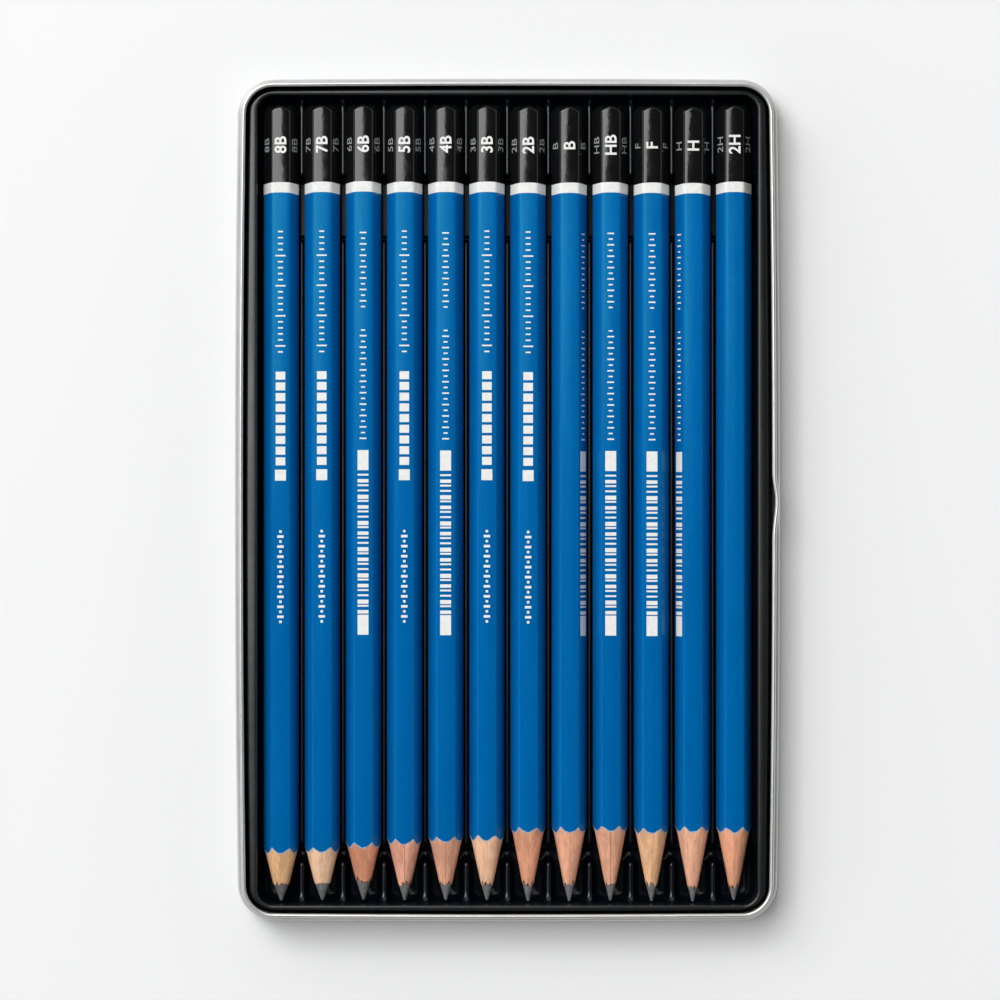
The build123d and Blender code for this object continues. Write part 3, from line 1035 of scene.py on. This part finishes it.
def grade_mark(blank, facet, size, weight):
    """The grade in raised ink of a weight, on one facet of the cap."""
    curve = bpy.data.curves.new("mark", "FONT")
    curve.body = blank.grade.upper()
    curve.size = size * FONT_SIZE
    curve.align_x = "CENTER"
    curve.align_y = "CENTER"
    curve.offset = weight
    curve.extrude = INK / 2
    curve.resolution_u = 3
    text = bpy.data.objects.new("mark", curve)
    mesh = bpy.data.meshes.new_from_object(text)
    bpy.data.objects.remove(text)
    bm = bmesh.new()
    bm.from_mesh(mesh)
    bmesh.ops.remove_doubles(bm, verts=bm.verts, dist=0.000001)
    for axis in (0, 1):
        reach = [v.co[axis] for v in bm.verts]
        middle = (min(reach) + max(reach)) / 2
        for vert in bm.verts:
            vert.co[axis] -= middle
    place = facet_frame(blank, facet, blank.end - blank.settings.mark_place)
    bmesh.ops.transform(bm, matrix=place, verts=bm.verts)
    for face in bm.faces:
        face.material_index = abs(facet)
    bm.to_mesh(mesh)
    bm.free()
    return mesh


def casing_marks(bm, blank):
    """Plain printed ticks, blocks and bars along one facet of the casing."""
    facet = TURNED.get(blank.grade, 0)
    kinds = [kind for kind, grades in MARKED.items() if blank.grade in grades]
    rows = [row for kind in kinds for row in MARK_ROWS[kind]]
    for start, end, step, lengths, heights in rows:
        for i in range(max(1, math.ceil((end - start) / step - 0.01))):
            size = lengths[i % len(lengths)]
            y = blank.end - (start + i * step + size / 2) * MM
            verts = bmesh.ops.create_cube(bm, size=1.0)["verts"]
            thick = (size * MM, heights[i % len(heights)] * MM, INK)
            bmesh.ops.scale(bm, vec=thick, verts=verts)
            bmesh.ops.transform(bm, matrix=facet_frame(blank, facet, y), verts=verts)


def build_marks(blank, paint, faint):
    """The grade on three facets of the cap, and the printed marks of the casing."""
    whole = bmesh.new()
    letter, bold = blank.settings.letter, blank.settings.bold
    for facet, size, weight in ((-1, 0.86, 0.0), (0, 1.0, bold), (1, 0.86, 0.0)):
        part = grade_mark(blank, facet, letter * size, weight)
        whole.from_mesh(part)
        bpy.data.meshes.remove(part)
    casing_marks(whole, blank)
    pencil = "pencil_" + blank.grade
    mark = add_piece(pencil + "_mark", whole, 30.0, pencil, paint, None)
    mark.data.materials.append(faint)


# Stage

def add_lamp(name, place, target, size, power):
    """A rectangular lamp that shines at a point."""
    data = bpy.data.lights.new(name, "AREA")
    data.shape = "RECTANGLE"
    data.size, data.size_y = size
    data.energy = power
    lamp = add_object(name, data)
    lamp.location = place
    lamp.rotation_euler = (Vector(target) - lamp.location).to_track_quat("-Z", "Y").to_euler()


def build_stage(settings):
    """Table, camera straight above, and soft light from the upper left."""
    scene = bpy.context.scene
    scene.view_settings.view_transform = "Standard"
    bm = bmesh.new()
    bmesh.ops.create_grid(bm, x_segments=1, y_segments=1, size=3.0)
    mesh = bpy.data.meshes.new("table")
    bm.to_mesh(mesh)
    bm.free()
    table = add_object("table", mesh)
    table.data.materials.append(floor_material(settings))

    pencil_low, pencil_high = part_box("pencil_8b_lead")
    axis = (pencil_low.z + pencil_high.z) / 2
    data = bpy.data.cameras.new("camera")
    data.sensor_width = 36.0
    data.lens = data.sensor_width * (settings.camera_height - axis) / settings.view_width
    camera = add_object("camera", data)
    camera.location = (settings.view_x, 0, settings.camera_height)
    scene.camera = camera

    for name, place, target, size in LAMPS:
        add_lamp(name, place, target, size, getattr(settings, name))

    world = bpy.data.worlds.new("studio")
    scene.world = world
    world.use_nodes = True
    sky = Nodes(world.node_tree)
    background = sky.tree.nodes["Background"]
    where = sky.add("ShaderNodeTexCoord").outputs["Generated"]
    split = sky.add("ShaderNodeSeparateXYZ")
    ramp = sky.add("ShaderNodeValToRGB")
    ramp.color_ramp.elements.new(0.5)
    for element, (position, value) in zip(ramp.color_ramp.elements, SKY):
        element.position = position
        element.color = (value, value, value, 1.0)
    toward = sky.add("ShaderNodeVectorMath", {1: BRIGHT_SIDE}, operation="DOT_PRODUCT")
    low, high = (settings.fill * share for share in SIDE_SHARES)
    side = sky.add("ShaderNodeMapRange", {"From Min": -1.0, "To Min": low, "To Max": high})
    sky.link(where, toward.inputs[0])
    sky.link(toward.outputs["Value"], side.inputs["Value"])
    sky.link(side.outputs["Result"], background.inputs["Strength"])
    sky.link(where, split.inputs[0])
    sky.link(split.outputs["Z"], ramp.inputs["Fac"])
    sky.link(ramp.outputs["Color"], background.inputs["Color"])


# Operators

class PENCILTIN_OT_stage(bpy.types.Operator):
    """Make the table, the camera and the lamps"""

    bl_idname = "pencil_tin.stage"
    bl_label = "Make stage"

    def execute(self, context):
        build_stage(context.scene.pencil_tin_stage)
        return {"FINISHED"}


class PENCILTIN_OT_tin(bpy.types.Operator):
    """Make the drawn tin with its rolled rim"""

    bl_idname = "pencil_tin.tin"
    bl_label = "Make tin"

    def execute(self, context):
        build_tin(context.scene.pencil_tin_tin)
        return {"FINISHED"}


class PENCILTIN_OT_tray(bpy.types.Operator):
    """Make the formed tray with its ribs and troughs"""

    bl_idname = "pencil_tin.tray"
    bl_label = "Make tray"

    def execute(self, context):
        build_tray(context.scene.pencil_tin_tray, context.scene.pencil_tin_tin)
        return {"FINISHED"}


class PENCILTIN_OT_pencils(bpy.types.Operator):
    """Make the twelve sharpened pencils"""

    bl_idname = "pencil_tin.pencils"
    bl_label = "Make pencils"

    def execute(self, context):
        settings = context.scene.pencil_tin_pencils
        lacquer = lacquer_material(settings)
        primer = primer_material(settings)
        dip = dip_material(settings)
        paint = paint_material("white_paint", settings.band)
        faint = paint_material("faint_ink", settings.faint)
        graphite = graphite_material(settings)
        for grade in GRADES:
            blank = Blank(grade, settings)
            build_wood(blank)
            build_lead(blank, graphite)
            build_lacquer(blank, lacquer, primer)
            build_dip(blank, dip, paint)
            build_marks(blank, paint, faint)
        return {"FINISHED"}


class PENCILTIN_PT_panel(bpy.types.Panel):
    """Lists the settings and the steps"""

    bl_idname = "PENCILTIN_PT_panel"
    bl_label = "Pencil Tin"
    bl_space_type = "VIEW_3D"
    bl_region_type = "UI"
    bl_category = "Pencil Tin"

    def draw(self, context):
        for group in SETTINGS:
            settings = getattr(context.scene, group)
            box = self.layout.box()
            for name in settings.bl_rna.properties.keys():
                if name not in ("rna_type", "name"):
                    box.prop(settings, name)
            box.operator(group.replace("tin_", "tin.", 1))


SETTINGS = {
    "pencil_tin_stage": StageSettings,
    "pencil_tin_tin": TinSettings,
    "pencil_tin_tray": TraySettings,
    "pencil_tin_pencils": PencilSettings,
}
CLASSES = (
    PENCILTIN_OT_stage,
    PENCILTIN_OT_tin,
    PENCILTIN_OT_tray,
    PENCILTIN_OT_pencils,
    PENCILTIN_PT_panel,
)


def register():
    for name, group in SETTINGS.items():
        bpy.utils.register_class(group)
        setattr(bpy.types.Scene, name, bpy.props.PointerProperty(type=group))
    for item in CLASSES:
        bpy.utils.register_class(item)


def unregister():
    for item in reversed(CLASSES):
        bpy.utils.unregister_class(item)
    for name, group in SETTINGS.items():
        delattr(bpy.types.Scene, name)
        bpy.utils.unregister_class(group)


def main():
    register()
    bpy.ops.pencil_tin.stage()
    bpy.ops.pencil_tin.tin()
    bpy.ops.pencil_tin.tray()
    bpy.ops.pencil_tin.pencils()


if __name__ == "__main__":
    main()
